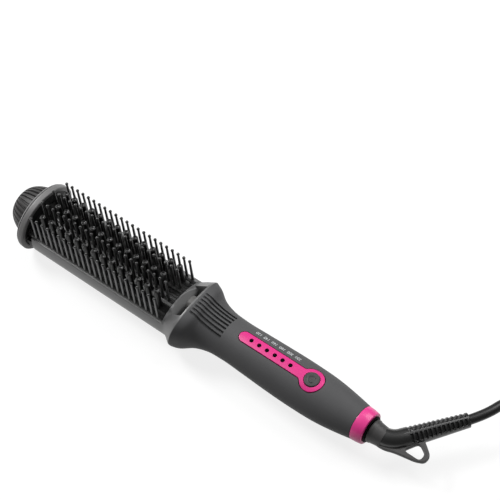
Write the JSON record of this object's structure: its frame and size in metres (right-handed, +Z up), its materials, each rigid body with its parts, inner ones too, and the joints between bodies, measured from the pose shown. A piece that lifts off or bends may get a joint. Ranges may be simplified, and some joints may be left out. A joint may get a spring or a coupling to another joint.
{
  "type": "hair straightener brush",
  "caption": "Heated straightening brush: bristle head with ball-tipped pins and thick teeth, flared grooved handle with button and lights, swivel cord with hanging loop, cord and plug.",
  "frame": {"origin": "on the surface that the brush rests on, under the middle of the brush's length and width, leaving out the cord, its gland, coil and plug", "axes": "+X along the brush from the tip cap to the cord end, +Z up along the bristles, +Y across; the brush lies on its flat back at z = 0"},
  "size_m": [0.5079, 0.1204, 0.0527],
  "materials": {
    "cap_grey": "satin moulded plastic, warm grey",
    "collar_silver": "satin silver-grey lacquer",
    "body_grey": "fine matte moulded plastic, warm dark grey",
    "carrier_black": "matte heat-resistant plastic",
    "plate_ceramic": "ceramic-coated aluminium, satin",
    "pin_black": "satin heat-resistant nylon",
    "tooth_black": "matte heat-resistant nylon",
    "lens_smoke": "dark smoked light pipe",
    "button_grey": "satin moulded plastic",
    "ring_pink": "glossy translucent-looking pink",
    "bush_black": "satin black acetal",
    "gland_rubber": "matte soft plastic",
    "cord_rubber": "satin soft plastic sheath",
    "plug_black": "fine matte moulded plastic",
    "pin_metal": "nickel-plated brass",
    "contact_brass": "turned brass",
    "heater_ceramic": "ceramic heating element in foil",
    "insulator_amber": "polyimide film",
    "spring_steel": "spring steel strip",
    "sensor_white": "ceramic sleeve",
    "lead_red": "silicone insulation",
    "board_green": "glass-fibre board with solder mask",
    "chip_white": "light-emitting diode package",
    "switch_black": "moulded switch body",
    "module_black": "potted module",
    "screw_steel": "zinc-plated steel",
    "nozzle_grey": "satin moulded plastic",
    "needle_steel": "ground steel"
  },
  "bodies": {
    "handle": {"bed_carrier": "carrier_black", "board_screws": "screw_steel", "contact_block": "switch_black", "contact_brushes": "contact_brass", "control_board": "board_green", "control_strip": "ring_pink", "cord_coil": "cord_rubber", "cord_tube": "cord_rubber", "end_ring": "ring_pink", "handle_bottom_shell": "body_grey", "handle_top_shell": "body_grey", "head_frame": "body_grey", "heat_plate": "plate_ceramic", "heater_insulator": "insulator_amber", "heater_leads": "lead_red", "heater_spring": "spring_steel", "ion_module": "module_black", "ion_needle": "needle_steel", "ion_nozzle": "nozzle_grey", "led_chips": "chip_white", "led_lenses": "lens_smoke", "pin_strip_1": "pin_black", "pin_strip_2": "pin_black", "pin_strip_3": "pin_black", "pin_strip_4": "pin_black", "plug_body": "plug_black", "plug_pins": "pin_metal", "ptc_heaters": "heater_ceramic", "swivel_bush": "bush_black", "tact_switch": "switch_black", "thermal_fuse": "sensor_white", "thermistor": "sensor_white", "tip_cap": "cap_grey", "tip_collar": "collar_silver", "tooth_strip_1": "tooth_black", "tooth_strip_2": "tooth_black", "tooth_strip_3": "tooth_black"},
    "button": {"power_button": "button_grey", "switch_plunger": "switch_black"},
    "swivel": {"cord_gland": "gland_rubber", "slip_rings": "contact_brass"}
  },
  "joints": [
    {"name": "button_press", "type": "slide", "parent": "handle", "child": "button", "axis": [0, 0, -1], "range_m": [0, 0.0006], "stiffness_N_per_m": 1500, "springref_m": -0.0006},
    {"name": "cord_swivel", "type": "hinge", "parent": "handle", "child": "swivel", "pos_m": [0.14545, 0, 0.0198], "axis": [1, 0, 0], "continuous": true}
  ]
}
